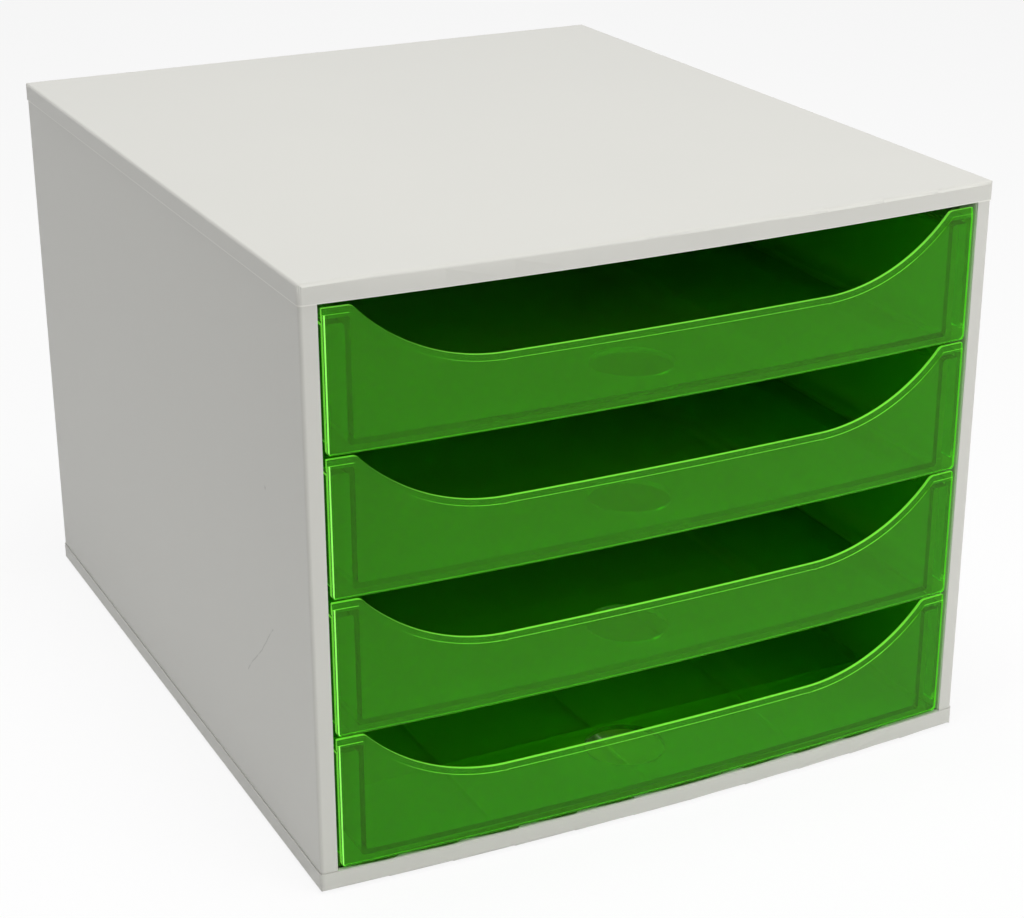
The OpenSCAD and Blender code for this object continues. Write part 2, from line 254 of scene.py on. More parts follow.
class StageSettings(bpy.types.PropertyGroup):
    """Floor, light and camera."""

    floor: colour("Floor", "Pale floor", (0.9, 0.9, 0.9))
    floor_share: share("Floor shading", "Share of its light and shadow that is seen", 0.12)
    key_power: watts("Key light", "Watts of the light overhead", 25.0)
    left_power: watts("Left light", "Watts of the wide light on the left", 5.0)
    right_power: watts("Right light", "Watts of the light at the right of the front", 5.5)
    low_power: watts("Low light", "Watts of the low light that reaches into the drawers", 9.0)
    world_strength: share("Surroundings", "Light that the white surroundings give", 0.12, 5.0)
    azimuth: angle("Azimuth", "Turn of the view to the right", 26.52)
    elevation: angle("Elevation", "How far the view looks down", 22.31)
    roll: angle("Roll", "Tilt of the view", -0.16)
    lens: share("Lens", "Focal length in millimetres", 79.7, 1000.0)


# ---------------------------------------------------------------- modelling helpers


def deselect():
    """Nothing is selected."""
    bpy.ops.object.select_all(action="DESELECT")


def activate(obj):
    """The object is the only one selected, and the active one."""
    deselect()
    obj.select_set(True)
    bpy.context.view_layer.objects.active = obj


def named(name):
    """The new primitive gets its name, and its place goes into its mesh."""
    obj = bpy.context.object
    obj.name = obj.data.name = name
    bpy.ops.object.transform_apply(location=True, rotation=True, scale=True)
    return obj


def block(name, low, high):
    """A cube from its lowest to its highest corner."""
    deselect()
    low, high = Vector(low), Vector(high)
    bpy.ops.mesh.primitive_cube_add(size=1, location=(low + high) / 2)
    bpy.context.object.scale = high - low
    return named(name)


def edit(obj):
    """Starts work on an object's mesh with nothing picked."""
    activate(obj)
    bpy.ops.object.mode_set(mode="EDIT")
    bpy.ops.mesh.select_mode(type="VERT")
    bpy.ops.mesh.select_all(action="DESELECT")


def leave():
    """Ends work on a mesh."""
    bpy.ops.object.mode_set(mode="OBJECT")


def pick(kind, test):
    """Selects the edges or faces of the edited mesh whose corners pass a test."""
    bpy.ops.mesh.select_all(action="DESELECT")
    bpy.ops.mesh.select_mode(type=kind)
    mesh = bmesh.from_edit_mesh(bpy.context.edit_object.data)
    elements = {"EDGE": mesh.edges, "FACE": mesh.faces}[kind]
    for element in elements:
        if test([corner.co for corner in element.verts]):
            element.select_set(True)
    mesh.select_flush_mode()
    bmesh.update_edit_mesh(bpy.context.edit_object.data)


def pick_all():
    """Selects the whole edited mesh."""
    bpy.ops.mesh.select_all(action="SELECT")


def near(value, target):
    """Two lengths agree closely enough to be one."""
    return abs(value - target) < CLOSE


def at_height(ends, height):
    """All corners lie at one height."""
    return all(near(end.z, height) for end in ends)


def bevel(width, segments):
    """Rounds what is picked, or cuts it off straight with a single segment."""
    bpy.ops.mesh.bevel(offset=width, segments=segments, profile=0.5, clamp_overlap=False)


def push(x=0.0, y=0.0, z=0.0):
    """Extrudes what is picked."""
    bpy.ops.mesh.extrude_region_move(TRANSFORM_OT_translate={"value": (x, y, z)})


def combine(body, tool, how):
    """Joins two closed meshes, cuts one with the other or keeps what they share."""
    step = body.modifiers.new(how.title(), "BOOLEAN")
    step.operation = how
    step.solver = "EXACT"
    step.object = tool
    apply(body, step)
    bpy.data.objects.remove(tool)
    return in_order(body)


def in_order(obj):
    """Sorts a mesh by place, because cutting leaves it in an order that changes from run to run."""
    bpy.context.scene.cursor.location = OFF_CENTRE
    edit(obj)
    pick_all()
    bpy.ops.mesh.sort_elements(type="CURSOR_DISTANCE", elements={"VERT", "EDGE", "FACE"})
    leave()
    return obj


def apply(obj, step):
    """Applies one modifier."""
    activate(obj)
    bpy.ops.object.modifier_apply(modifier=step.name)


def depth(face):
    """How far a face reaches from front to back."""
    places = [vert.co.y for vert in face.verts]
    return max(places) - min(places)


def even_out(obj):
    """Takes out the crumbs that cutting leaves: near doubles and needless edges on flat faces."""
    edit(obj)
    pick_all()
    bpy.ops.mesh.remove_doubles(threshold=CRUMB)
    bpy.ops.mesh.dissolve_limited(angle_limit=FLAT)
    bpy.ops.mesh.normals_make_consistent(inside=False)
    leave()


def tidy(obj):
    """Welds doubles and turns all faces outwards."""
    edit(obj)
    pick_all()
    bpy.ops.mesh.remove_doubles(threshold=WELD)
    bpy.ops.mesh.dissolve_degenerate(threshold=WELD)
    bpy.ops.mesh.normals_make_consistent(inside=False)
    leave()
    return obj


def close_slits(obj):
    """Closes the slits that cutting leaves where a corner lies on an edge."""
    edit(obj)
    pick_all()
    bpy.ops.mesh.fill_holes(sides=3)
    pick_all()
    bpy.ops.mesh.dissolve_degenerate(threshold=WELD)
    leave()
    return obj


def round_sharp(obj, width, spare=lambda face: False):
    """Rounds every sharp outer edge, apart from those of the faces that are spared."""
    edit(obj)
    bpy.ops.mesh.select_mode(type="EDGE")
    mesh = bmesh.from_edit_mesh(obj.data)
    for edge in mesh.edges:
        outer = edge.is_manifold and edge.is_convex and edge.calc_face_angle() > SHARP
        if outer and not any(spare(face) for face in edge.link_faces):
            edge.select_set(True)
    bmesh.update_edit_mesh(obj.data)
    bevel(width, EDGE_SEGMENTS)
    leave()
    return obj


def smooth(obj):
    """Shades rounded edges smooth and keeps flat faces flat."""
    activate(obj)
    bpy.ops.object.shade_smooth_by_angle(angle=SHARP)
    weigh = obj.modifiers.new("Flat faces", "WEIGHTED_NORMAL")
    weigh.keep_sharp = True
    apply(obj, weigh)


def copied(obj, name, shift):
    """A copy with its own mesh, moved by a shift."""
    activate(obj)
    bpy.ops.object.duplicate(linked=False)
    twin = bpy.context.object
    twin.name = twin.data.name = name
    bpy.ops.transform.translate(value=shift)
    bpy.ops.object.transform_apply(location=True, rotation=False, scale=False)
    return twin


def stand_in(obj, node, finish):
    """The piece takes its node's place, body and finish."""
    obj.data.materials.clear()
    obj.data.materials.append(finish)
    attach(obj, BODY_OF[node])
    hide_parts(node)


# ---------------------------------------------------------------- shader helpers


class Value:
    """A node's output that takes part in Python arithmetic by adding Math nodes."""

    def __init__(self, tree, socket):
        self.tree = tree
        self.socket = socket

    def math(self, operation, *others):
        """One Math node on this value and others."""
        node = self.tree.nodes.new("ShaderNodeMath")
        node.operation = operation
        for slot, value in zip(node.inputs, (self, *others)):
            connect(self.tree, value, slot)
        return Value(self.tree, node.outputs[0])

    def __add__(self, other):
        return self.math("ADD", other)

    def __sub__(self, other):
        return self.math("SUBTRACT", other)

    def __rsub__(self, other):
        return (self * -1).math("ADD", other)

    def __mul__(self, other):
        return self.math("MULTIPLY", other)

    def __truediv__(self, other):
        return self.math("DIVIDE", other)

    def __pow__(self, other):
        return self.math("POWER", other)

    __radd__ = __add__
    __rmul__ = __mul__

    def clamped(self):
        """The value held between 0 and 1."""
        return self.math("MAXIMUM", 0.0).math("MINIMUM", 1.0)


def connect(tree, value, socket):
    """Links a value to a socket, or sets a plain number or vector there."""
    if isinstance(value, Value):
        tree.links.new(value.socket, socket)
    else:
        socket.default_value = value


class Finish:
    """The nodes of one new material, or of the world."""

    def __init__(self, owner):
        owner.use_nodes = True
        self.owner = owner
        self.tree = owner.node_tree
        self.tree.nodes.clear()

    def node(self, kind, settings=None, inputs=None, output=0):
        """Adds a node: its settings first, then its sockets' values or links."""
        node = self.tree.nodes.new("ShaderNode" + kind)
        for key, value in (settings or {}).items():
            setattr(node, key, value)
        for key, value in (inputs or {}).items():
            connect(self.tree, value, node.inputs[key])
        return Value(self.tree, node.outputs[output]) if node.outputs else None

    def place(self):
        """The point on the piece, in metres."""
        return self.node("TexCoord", output="Object")

    def axis(self, place, letter):
        """One coordinate of a point."""
        return self.node("SeparateXYZ", inputs={"Vector": place}, output=letter)

    def noise(self, place, scale, detail=2.0, roughness=0.5):
        """Smooth noise from 0 to 1, with scale bumps to the metre."""
        return self.node("TexNoise", inputs={
            "Vector": place, "Scale": scale, "Detail": detail, "Roughness": roughness})

    def blend(self, factor, first, second):
        """A colour between two others."""
        return self.node(
            "Mix", {"data_type": "RGBA"},
            {"Factor": factor, FIRST_COLOUR: opaque(first), SECOND_COLOUR: opaque(second)},
            output=MIXED_COLOUR)

    def mixed(self, share_of_second, first, second):
        """A shader between two others."""
        return self.node("MixShader", inputs={0: share_of_second, 1: first, 2: second})

    def bump(self, height, strength, distance):
        """A normal from a height."""
        return self.node("Bump", inputs={
            "Height": height, "Strength": strength, "Distance": distance})

    def surface(self, **inputs):
        """A principled shader, with its sockets' names written as words joined by underscores."""
        names = {key.replace("_", " "): value for key, value in inputs.items()}
        return self.node("BsdfPrincipled", inputs=names, output="BSDF")

    def seen_as_background(self):
        """1 for what the camera, a reflection or clear plastic shows, 0 for light on things."""
        kinds = ("Is Camera Ray", "Is Glossy Ray", "Is Transmission Ray")
        camera, glossy, clear = (self.node("LightPath", output=kind) for kind in kinds)
        return (camera + glossy + clear).clamped()

    def end(self, shader, kind="OutputMaterial"):
        """Sends a shader to the output and returns the material or world."""
        self.node(kind, inputs={"Surface": shader})
        return self.owner


def new_finish(name):
    """An empty material to work on."""
    return Finish(bpy.data.materials.new(name))


def scaled(tint, amount):
    """A colour made lighter or darker."""
    return tuple(min(1.0, part * amount) for part in tint)


def opaque(tint):
    """A plain colour with its fourth number, or a node's colour as it is."""
    return (*tint, 1.0) if isinstance(tint, tuple) else tint


def shell_plastic(looks):
    """Light grey moulded plastic: a fine satin grain, a faint mottle and a few marks of use."""
    finish = new_finish("shell_plastic")
    tint = tuple(looks.shell)
    place = finish.place()
    mottle = finish.noise(place, scale=9.0, detail=3.0, roughness=0.55)
    grain = finish.noise(place, scale=2600.0, detail=1.0)
    wave = finish.noise(place, scale=45.0)
    marks = worn_marks(finish, place)
    base = finish.blend(mottle, scaled(tint, 0.965), scaled(tint, 1.03))
    base = finish.blend(marks, base, scaled(tint, 0.55))
    # Painted highlight along the seam under the top cover.
    base = finish.blend(painted_seam_highlight(finish, place), base, scaled(tint, 1.0 + looks.seam_painted_highlight))
    return finish.end(finish.surface(
        Base_Color=base,
        Roughness=looks.shell_roughness - 0.07 + 0.10 * mottle + 0.04 * grain + 0.2 * marks,
        IOR=1.5,
        Specular_IOR_Level=looks.shell_shine,
        Normal=finish.bump(grain * 0.55 + wave * 6.0, strength=0.5, distance=0.02 * MM)))


def painted_seam_highlight(finish, place):
    """A painted highlight: a fine lighter line under the top cover, standing in for the light that
    the mouldings' edges catch there.
    """
    away = (finish.axis(place, "Z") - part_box("top_cover")[0].z).math("ABSOLUTE")
    return (1.0 - away / SEAM_HIGHLIGHT_HALF_WIDTH).clamped()


def worn_marks(finish, place):
    """A hairline scratch and a speck on the left side, worn into the surface."""
    x, y, z = (finish.axis(place, letter) for letter in "XYZ")
    on_left = x.math("LESS_THAN", LEFT_SIDE_X)
    run = (SCRATCH_END - SCRATCH_START).normalized()
    reach = (SCRATCH_END - SCRATCH_START).length
    from_y, from_z = y - SCRATCH_START.x, z - SCRATCH_START.y
    across = from_y * -run.y + from_z * run.x
    along = from_y * run.x + from_z * run.y
    wander = (finish.noise(place, scale=70.0) - 0.5) * SCRATCH_WANDER
    thin = 1.0 - (across + wander).math("ABSOLUTE") / SCRATCH_HALF_WIDTH
    within = along.math("GREATER_THAN", 0.0) * along.math("LESS_THAN", reach)
    broken = finish.noise(place, scale=240.0).math("GREATER_THAN", 0.42)
    scratch = thin.clamped() * within * (0.25 + 0.3 * broken)
    far = ((y - SPECK.x) ** 2.0 + (z - SPECK.y) ** 2.0) ** 0.5
    speck = (1.0 - far / SPECK_RADIUS).clamped() * 0.6
    return (scratch + speck) * on_left


def drawer_plastic(looks):
    """Clear green plastic with faint flow lines and scuffs, and edges with a painted glow: a brighter
    colour and emission for light that the plastic gathers.
    """
    finish = new_finish("drawer_plastic")
    tint, painted_glow_tint = tuple(looks.drawer), tuple(looks.drawer_painted_glow)
    place = finish.place()
    haze = finish.noise(place, scale=14.0, detail=3.0)
    stretched = finish.node("Mapping", inputs={"Vector": place, "Scale": (1.0, 1.0, 4.0)})
    flow = finish.noise(stretched, scale=22.0)
    scuffs = finish.noise(place, scale=900.0)
    bumps = finish.bump(flow * 3.0 + scuffs * 0.015, strength=0.4, distance=0.06 * MM)
    clear = finish.surface(
        Base_Color=finish.blend(haze, scaled(tint, 0.95), scaled(tint, 1.05)),
        Roughness=looks.drawer_roughness - 0.02 + 0.05 * scuffs + 0.02 * haze,
        IOR=looks.refraction,
        Transmission_Weight=looks.clarity,
        Normal=bumps)
    # Painted glow at the edges: a brighter colour and emission that stand in for gathered light; the
    # coat's reflection is real.
    bright = finish.surface(
        Base_Color=finish.blend(haze, scaled(painted_glow_tint, 0.9), painted_glow_tint),
        Roughness=0.15 + 0.1 * scuffs,
        Transmission_Weight=looks.edge_clarity,
        Emission_Color=opaque(painted_glow_tint),
        Emission_Strength=looks.painted_glow_strength,
        Coat_Weight=1.0,
        Coat_Roughness=0.05,
        Normal=bumps)
    edge = finish.node("Attribute", {"attribute_name": PAINTED_GLOW_ATTRIBUTE}, output="Fac")
    return finish.end(finish.mixed(edge, clear, bright))


def foot_rubber(looks):
    """Matt dark rubber with a fine tooth."""
    finish = new_finish("foot_rubber")
    tint = tuple(looks.foot)
    place = finish.place()
    tooth = finish.noise(place, scale=1800.0)
    dust = finish.noise(place, scale=160.0, detail=3.0)
    return finish.end(finish.surface(
        Base_Color=finish.blend(dust, tint, scaled(tint, 2.2)),
        Roughness=0.75 + 0.15 * tooth,
        Normal=finish.bump(tooth, strength=0.5, distance=0.08 * MM)))


def seen_white(name, tint, lit_share):
    """A surface that takes the object's shadow, and is near white where it is seen."""
    finish = new_finish(name)
    lit = finish.node("BsdfDiffuse", inputs={"Color": opaque(tint)})
    white = finish.node("Emission", inputs={"Color": WHITE, "Strength": 1.0})
    seen = finish.seen_as_background() * (1.0 - lit_share)
    return finish.end(finish.mixed(seen, lit, white))


def white_world(name, strength):
    """Surroundings that light the object softly and are white where they are seen."""
    sky = Finish(bpy.data.worlds.new(name))
    level = strength + sky.seen_as_background() * (1.0 - strength)
    glow = sky.node("Background", inputs={"Color": WHITE, "Strength": level})
    return sky.end(glow, "OutputWorld")


# ---------------------------------------------------------------- drawer


class DrawerPlan:
    """The places on a drawer, worked out from its sizes and its node's box."""

    def __init__(self, sizes, node):
        self.sizes = sizes
        self.low, self.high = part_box(node)
        self.start_y = self.low.y - BEFORE
        self.returns_back = self.low.y + sizes.bow + sizes.return_depth
        self.hole_y = self.low.y + sizes.hole_back
        casing_low, casing_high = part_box("top_cover")
        half_casing = casing_high.x
        bow_radius = (half_casing ** 2 + sizes.bow ** 2) / (2 * sizes.bow)
        self.centre_y = casing_low.y + bow_radius
        self.face_radius = self.centre_y - self.low.y
        self.half = self.high.x
        self.top = self.high.z
        self.half_tray = self.half - sizes.flange_width
        self.flange_top = self.top - sizes.flange_drop
        self.flange_low = self.flange_top - sizes.wall
        self.floor_low = self.low.z + sizes.skirt
        self.floor_top = self.floor_low + sizes.floor
        self.scoop_z = self.top - sizes.scoop_drop + sizes.scoop_radius
        fall = sizes.scoop_radius - sizes.scoop_drop
        self.scoop_x = self.half - sizes.ear_width - math.sqrt(sizes.scoop_radius ** 2 - fall ** 2)
        rise = fall + sizes.ear_radius
        both_radii = sizes.scoop_radius + sizes.ear_radius
        self.ear_x = self.scoop_x + math.sqrt(both_radii ** 2 - rise ** 2)
        self.turn = math.pi / 2 - math.atan2(rise, self.ear_x - self.scoop_x)


def bowed_plate(name, plan, front, back, low, high, half):
    """A plate that follows the front's bow, between two depths behind the drawer's face."""
    deselect()
    middle = plan.face_radius - (front + back) / 2
    swing = math.asin(half / (plan.face_radius - back)) * SPARE_SWING
    end_x, end_y = -middle * math.sin(swing), plan.centre_y - middle * math.cos(swing)
    bpy.ops.mesh.primitive_plane_add(
        size=1, location=(end_x, end_y, (low + high) / 2), rotation=(0, math.pi / 2, -swing))
    bpy.context.object.scale = (high - low, back - front, 1)
    plate = named(name)
    edit(plate)
    pick_all()
    bpy.ops.mesh.spin(
        steps=plan.sizes.bow_steps, angle=2 * swing, center=(0, plan.centre_y, 0), axis=(0, 0, -1))
    for side in SIDES:
        pick_all()
        bpy.ops.mesh.bisect(
            plane_co=(side * half, 0, 0), plane_no=(side, 0, 0), use_fill=True, clear_outer=True)
    leave()
    return tidy(plate)


class Pen:
    """Draws an outline seen from the front by extruding and spinning one vertex."""

    def __init__(self, name, x, z, y):
        deselect()
        bpy.ops.mesh.primitive_plane_add(size=1, location=(x, y, z))
        self.obj = named(name)
        self.at = Vector((x, z))
        self.y = y
        edit(self.obj)
        pick_all()
        bpy.ops.mesh.merge(type="CENTER")

    def line(self, x, z):
        """A straight edge to a point."""
        push(x - self.at.x, 0, z - self.at.y)
        self.at = Vector((x, z))

    def arc(self, x, z, turn, steps):
        """An arc about a point, anticlockwise for a positive turn."""
        bpy.ops.mesh.spin(steps=steps, angle=turn, center=(x, self.y, z), axis=(0, 1, 0))
        spoke = self.at - Vector((x, z))
        spoke.rotate(Matrix.Rotation(turn, 2))
        self.at = Vector((x, z)) + spoke

    def solid(self, thickness):
        """Closes the outline, fills it and gives it a thickness towards the back."""
        pick_all()
        bpy.ops.mesh.remove_doubles(threshold=WELD)
        pick_all()
        bpy.ops.mesh.edge_face_add()
        push(0, thickness, 0)
        leave()
        return tidy(self.obj)


def draw_upper_edge(pen, plan, inset):
    """The scooped edge from the left ear to the right one, moved in by an inset."""
    sizes = plan.sizes
    level = plan.top - inset
    ear_z = plan.top - sizes.ear_radius
    low = level - sizes.scoop_drop
    pen.line(-plan.ear_x, level)
    pen.arc(-plan.ear_x, ear_z, -plan.turn, EAR_STEPS)
    pen.arc(-plan.scoop_x, plan.scoop_z, plan.turn, sizes.sweep_steps)
    pen.line(plan.scoop_x, low)
    pen.arc(plan.scoop_x, plan.scoop_z, plan.turn, sizes.sweep_steps)
    pen.arc(plan.ear_x, ear_z, -plan.turn, EAR_STEPS)


def front_outline(plan, y):
    """The whole outline of a drawer front, with rounded toes, as a solid to keep."""
    toe = plan.sizes.toe_radius
    low = plan.low.z
    pen = Pen("outline", -plan.half, plan.top, y)
    draw_upper_edge(pen, plan, 0.0)
    pen.line(plan.half, plan.top)
    pen.line(plan.half, low + toe)
    pen.arc(plan.half - toe, low + toe, -math.pi / 2, TOE_STEPS)
    pen.line(toe - plan.half, low)
    pen.arc(toe - plan.half, low + toe, -math.pi / 2, TOE_STEPS)
    pen.line(-plan.half, plan.top)
    return pen.solid(2 * BEYOND)


def band_region(plan, y):
    """All that lies above the band's lower line, as a solid to cut with."""
    band = plan.sizes.band_height
    beyond = plan.half + BEYOND
    pen = Pen("band", -beyond, plan.top - band, y)
    draw_upper_edge(pen, plan, band)
    pen.line(beyond, plan.top - band)
    pen.line(beyond, plan.top + BEYOND)
    pen.line(-beyond, plan.top + BEYOND)
    pen.line(-beyond, plan.top - band)
    return pen.solid(2 * BEYOND)


def drawer_front(plan):
    """The bowed plate with its scooped edge and the set-back band along it."""
    sizes = plan.sizes
    half = plan.half + ASIDE
    front = bowed_plate(
        "front", plan, 0.0, sizes.front_wall, plan.low.z - BEYOND, plan.top + BEYOND, half)
    combine(front, front_outline(plan, plan.start_y), "INTERSECT")
    skin = bowed_plate(
        "skin", plan, -AHEAD, sizes.band_step, plan.low.z, plan.top + BEYOND / 2, half)
    combine(skin, band_region(plan, plan.start_y), "INTERSECT")
    combine(front, skin, "DIFFERENCE")
    even_out(front)
    shallow = (sizes.band_step + sizes.front_wall) / 2

    def band_edge(face):
        """The low step beside the band, which is too narrow to round."""
        return abs(face.normal.y) < 0.5 and depth(face) < shallow

    return round_sharp(front, sizes.edge, spare=band_edge)


def tub_form(name, plan, inset, low, high, fillet):
    """A block with rounded rear corners and floor edges, open-ended past the front."""
    x, back = plan.half_tray - inset, plan.high.y - inset
    front = plan.start_y - inset
    form = block(name, (-x, front, low), (x, back, high))
    edit(form)
    pick("EDGE", lambda ends: all(near(end.y, back) for end in ends) and near(ends[0].x, ends[1].x))
    bevel(plan.sizes.tray_radius - inset, CORNER_SEGMENTS)
    pick("EDGE", lambda ends: at_height(ends, low) and not all(near(end.y, front) for end in ends))
    bevel(fillet, FILLET_SEGMENTS)
    leave()
    return form


def drawer_tub(plan):
    """The open tub: floor, two sides and a back with rounded corners."""
    sizes = plan.sizes
    tub = tub_form("tub", plan, 0.0, plan.floor_low, plan.flange_top, sizes.floor_fillet)
    hollow = tub_form(
        "hollow", plan, sizes.wall, plan.floor_top, plan.flange_top + BEYOND,
        sizes.floor_fillet / 2)
    return combine(tub, hollow, "DIFFERENCE")


def between(side, inner, outer):
    """The lower and higher X on one side, from two distances to the middle."""
    return sorted((side * inner, side * outer))


def stop_tab(plan, side, back):
    """The tab on a flange that stops the drawer, sloped at its rear end."""
    sizes = plan.sizes
    outer = plan.half - sizes.tab_inset
    low_x, high_x = between(side, outer - sizes.tab_width, outer)
    low_z, high_z = plan.flange_top - sizes.wall / 2, plan.flange_top + sizes.tab_height
    tab = block(
        "tab", (low_x, back - sizes.tab_length, low_z), (high_x, back - sizes.tab_inset, high_z))
    middle = back - sizes.tab_length / 2
    edit(tab)
    pick("EDGE", lambda ends: all(end.y > middle and end.z > plan.flange_top for end in ends))
    bevel(sizes.tab_height * TAB_SLOPE, 1)
    leave()
    return tab


def drawer_flanges(plan):
    """The runner flanges with their stop tabs, overlapping the tub's walls."""
    sizes = plan.sizes
    back = plan.high.y - sizes.tray_radius
    pieces = []
    for side in SIDES:
        low_x, high_x = between(side, plan.half_tray - sizes.wall / 2, plan.half)
        flange = block(
            "flange", (low_x, plan.start_y, plan.flange_low), (high_x, back, plan.flange_top))
        edge_x = side * plan.half
        edit(flange)
        pick("EDGE", lambda ends: all(near(end.y, back) and near(end.x, edge_x) for end in ends))
        bevel(sizes.flange_cut, 1)
        leave()
        pieces.append(combine(flange, stop_tab(plan, side, back - sizes.flange_cut), "UNION"))
    return pieces


def end_returns(plan):
    """The short walls at the ends of the front."""
    high_z = plan.flange_low + plan.sizes.wall / 2
    pieces = []
    for side in SIDES:
        low_x, high_x = between(side, plan.half - plan.sizes.return_wall, plan.half)
        low = (low_x, plan.start_y, plan.floor_top)
        pieces.append(block("return", low, (high_x, plan.returns_back, high_z)))
    return pieces


def thumb_hole(plan):
    """The round cutter for the thumb hole."""
    deselect()
    bpy.ops.mesh.primitive_cylinder_add(
        vertices=HOLE_SIDES, radius=plan.sizes.hole_diameter / 2, depth=BEYOND,
        location=(0, plan.hole_y, plan.floor_low))
    return named("hole")


def soften_lips(tray, plan):
    """Rounds the tray's inner rim, and the corner under each flange."""
    fillet = plan.sizes.lip_fillet
    inner_x = plan.half_tray - plan.sizes.wall + CLOSE
    inner_y = plan.high.y - plan.sizes.wall + CLOSE
    edit(tray)
    pick("EDGE", lambda ends: at_height(ends, plan.flange_top)
         and all(abs(end.x) < inner_x and end.y < inner_y for end in ends)
         and not near(ends[0].y, plan.start_y))
    bevel(fillet, LIP_SEGMENTS)
    pick("EDGE", lambda ends: at_height(ends, plan.flange_low)
         and all(near(abs(end.x), plan.half_tray) for end in ends))
    bevel(fillet, LIP_SEGMENTS)
    leave()


def paint_glow_on_faces(obj, plan):
    """Notes each front face's share of painted glow, standing in for light that the plastic gathers:
    most with deep plastic behind it.

    What lies further back, and the thumb hole, gets no painted glow.
    """
    mesh, sizes = obj.data, plan.sizes
    hole = Vector((0, plan.hole_y))
    form = bmesh.new()
    form.from_mesh(mesh)
    walls = BVHTree.FromBMesh(form)
    form.free()
    glow_span = sizes.glow_full - sizes.glow_start
    strength = mesh.attributes.new(PAINTED_GLOW_ATTRIBUTE, "FLOAT", "FACE")
    for face in mesh.polygons:
        inside = face.center - face.normal * CRUMB
        hit, normal, index, plastic_behind = walls.ray_cast(inside, -face.normal)
        in_hole = (face.center.xy - hole).length < sizes.hole_diameter / 2 + sizes.edge
        lit = hit and face.center.y < plan.returns_back and not in_hole
        gathered = (plastic_behind - sizes.glow_start) / glow_span if lit else 0.0
        strength.data[face.index].value = min(1.0, max(0.0, gathered))


def whole_drawer(sizes, node):
    """One drawer, modelled as a single moulding."""
    plan = DrawerPlan(sizes, node)
    tray = drawer_tub(plan)
    for piece in drawer_flanges(plan) + end_returns(plan):
        combine(tray, piece, "UNION")
    combine(tray, thumb_hole(plan), "DIFFERENCE")
    even_out(tray)
    soften_lips(tray, plan)
    round_sharp(tray, sizes.edge)
    trim = bowed_plate(
        "trim", plan, -BEYOND, sizes.front_wall / 2, plan.low.z - BEYOND, plan.top + BEYOND,
        plan.half + BEYOND)
    combine(tray, trim, "DIFFERENCE")
    combine(tray, drawer_front(plan), "UNION")
    smooth(close_slits(tidy(tray)))
    paint_glow_on_faces(tray, plan)
    return tray


class DRAWERSET_OT_drawers(bpy.types.Operator):
    """Models one drawer and puts a copy in each place"""

    bl_idname = "drawer_set.drawers"
    bl_label = "Drawers"

    def execute(self, context):
        scene = context.scene
        finish = drawer_plastic(scene.drawer_set_finishes)
        first = whole_drawer(scene.drawer_set_drawer, DRAWERS[-1])
        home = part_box(DRAWERS[-1])[0].z
        for node in DRAWERS:
            shift = (0, 0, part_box(node)[0].z - home)
            stand_in(copied(first, node + "_moulding", shift), node, finish)
        bpy.data.objects.remove(first)
        return {"FINISHED"}


# ---------------------------------------------------------------- casing


class DRAWERSET_OT_casing(bpy.types.Operator):
    """Welds a copy of each panel of the casing, smooths its curves and gives it its plastic"""

    bl_idname = "drawer_set.casing"
    bl_label = "Casing"

    def execute(self, context):
        scene = context.scene
        finish = shell_plastic(scene.drawer_set_finishes)
        for node in CASING:
            panel = copied(frame["nodes"][node], node + "_moulding", (0, 0, 0))
            panel.parent = None
            smooth(tidy(panel))
            stand_in(panel, node, finish)
        return {"FINISHED"}


class DRAWERSET_OT_feet(bpy.types.Operator):
    """Models the round rubber feet, dished underneath"""

    bl_idname = "drawer_set.feet"
    bl_label = "Feet"

    def execute(self, context):
        sizes = context.scene.drawer_set_feet
        finish = foot_rubber(context.scene.drawer_set_finishes)
        for node in FEET:
            low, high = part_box(node)
            diameter = high.x - low.x
            deselect()
            bpy.ops.mesh.primitive_cylinder_add(
                vertices=FOOT_SIDES, radius=diameter / 2, depth=high.z - low.z,
                location=(low + high) / 2)
            foot = named(node + "_disc")
            edit(foot)
            pick("FACE", lambda ends: at_height(ends, low.z))
            bevel(sizes.foot_edge, FILLET_SEGMENTS)
            pick("FACE", lambda ends: at_height(ends, low.z))
            bpy.ops.mesh.inset(thickness=diameter * FOOT_RIM)
            bpy.ops.mesh.inset(thickness=sizes.foot_dish)
            bpy.ops.transform.translate(value=(0, 0, sizes.foot_dish))
            leave()
            tidy(foot)
            activate(foot)
            bpy.ops.object.shade_smooth_by_angle(angle=SHARP)
            stand_in(foot, node, finish)
        return {"FINISHED"}


# ---------------------------------------------------------------- stage


def lamp(name, power, width, place):
    """A soft square light on the object, which glossy faces don't mirror as a white patch."""
    data = bpy.data.lights.new(name, "AREA")
    data.size = width
    data.energy = power
    light = bpy.data.objects.new(name, data)
    light.location = place
    aim = Vector(LIT_POINT) - Vector(place)
    light.rotation_euler = aim.to_track_quat("-Z", "Y").to_euler()
    light.visible_glossy = False
    bpy.context.scene.collection.objects.link(light)


def camera(looks):
    """The camera of the main view, turned, nodded and leant at its place."""
    data = bpy.data.cameras.new("camera")
    data.lens = looks.lens
    data.sensor_width = SENSOR_WIDTH
    data.clip_end = FARTHEST_SEEN
    viewer = bpy.data.objects.new("camera", data)
    turn = Matrix.Rotation(-looks.azimuth, 4, "Z")
    nod = Matrix.Rotation(math.pi / 2 - looks.elevation, 4, "X")
    lean = Matrix.Rotation(looks.roll, 4, "Z")
    viewer.matrix_world = Matrix.Translation(CAMERA_PLACE) @ turn @ nod @ lean
    bpy.context.scene.collection.objects.link(viewer)
    return viewer


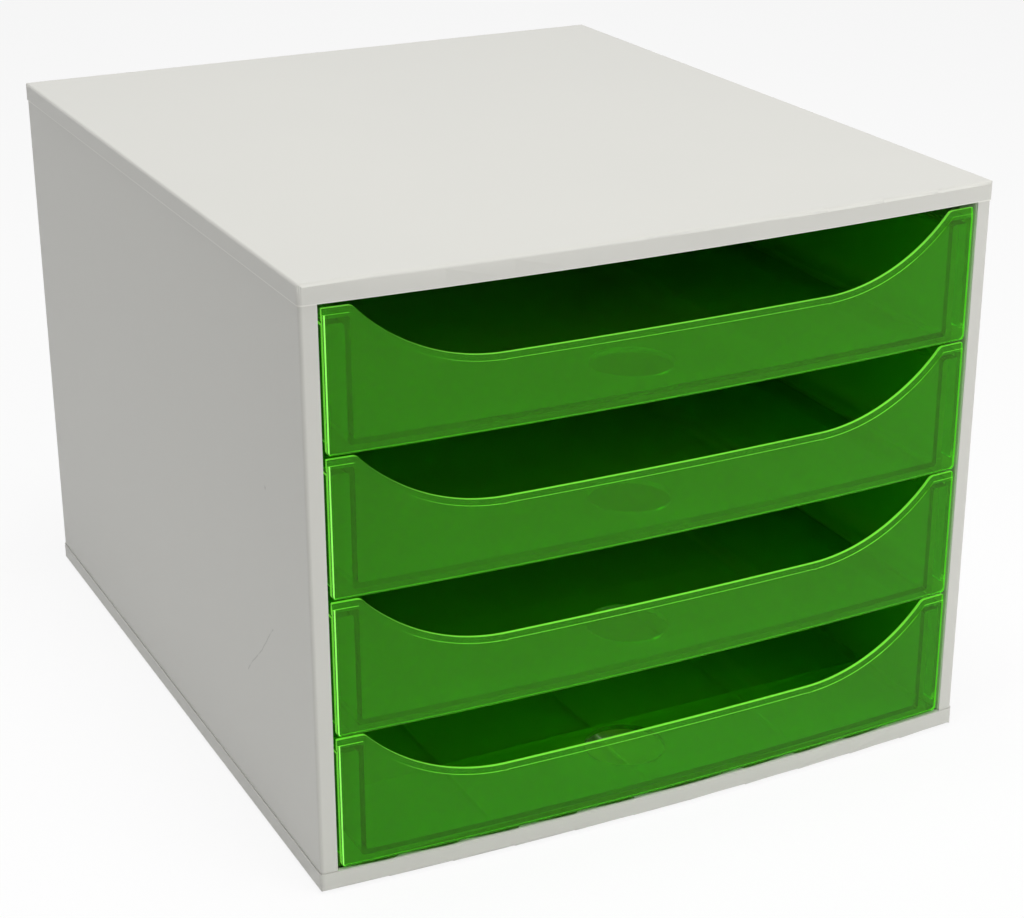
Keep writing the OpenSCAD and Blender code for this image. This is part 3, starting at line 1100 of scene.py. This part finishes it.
class DRAWERSET_OT_stage(bpy.types.Operator):
    """Sets up the pale floor, the soft lights and the camera"""

    bl_idname = "drawer_set.stage"
    bl_label = "Stage"

    def execute(self, context):
        scene = context.scene
        looks = scene.drawer_set_stage
        deselect()
        bpy.ops.mesh.primitive_plane_add(size=FLOOR_WIDTH, location=(0, 0, 0))
        floor = named("floor")
        white = seen_white("floor_white", tuple(looks.floor), looks.floor_share)
        floor.data.materials.append(white)
        for name, (width, place) in LAMPS.items():
            lamp(name, getattr(looks, name + "_power"), width, place)
        scene.world = white_world("surroundings", looks.world_strength)
        scene.camera = camera(looks)
        scene.view_settings.view_transform = "Standard"
        return {"FINISHED"}


# ---------------------------------------------------------------- panel and registration


class DRAWERSET_PT_sidebar(bpy.types.Panel):
    """Lists the steps and the sizes of the drawer set"""

    bl_idname = "DRAWERSET_PT_sidebar"
    bl_label = "Drawer set"
    bl_space_type = "VIEW_3D"
    bl_region_type = "UI"
    bl_category = "Drawer set"

    def draw(self, context):
        for step in STEPS:
            self.layout.operator(step.bl_idname)
        for name, (group, title) in GROUPS.items():
            box = self.layout.box()
            box.label(text=title)
            settings = getattr(context.scene, name)
            for key in group.__annotations__:
                box.prop(settings, key)


STEPS = (DRAWERSET_OT_casing, DRAWERSET_OT_feet, DRAWERSET_OT_drawers, DRAWERSET_OT_stage)
GROUPS = {
    "drawer_set_drawer": (DrawerSizes, "Drawer"),
    "drawer_set_feet": (FootSizes, "Feet"),
    "drawer_set_finishes": (Finishes, "Finishes"),
    "drawer_set_stage": (StageSettings, "Stage"),
}


def register():
    """Makes the settings, the steps and the panel known to Blender."""
    for name, (group, title) in GROUPS.items():
        bpy.utils.register_class(group)
        setattr(bpy.types.Scene, name, PointerProperty(type=group))
    for step in STEPS:
        bpy.utils.register_class(step)
    bpy.utils.register_class(DRAWERSET_PT_sidebar)


def unregister():
    """Takes out what register added."""
    bpy.utils.unregister_class(DRAWERSET_PT_sidebar)
    for step in reversed(STEPS):
        bpy.utils.unregister_class(step)
    for name, (group, title) in GROUPS.items():
        delattr(bpy.types.Scene, name)
        bpy.utils.unregister_class(group)


def main():
    """Builds the whole drawer set and its stage."""
    register()
    bpy.ops.drawer_set.casing()
    bpy.ops.drawer_set.feet()
    bpy.ops.drawer_set.drawers()
    bpy.ops.drawer_set.stage()


if __name__ == "__main__":
    main()
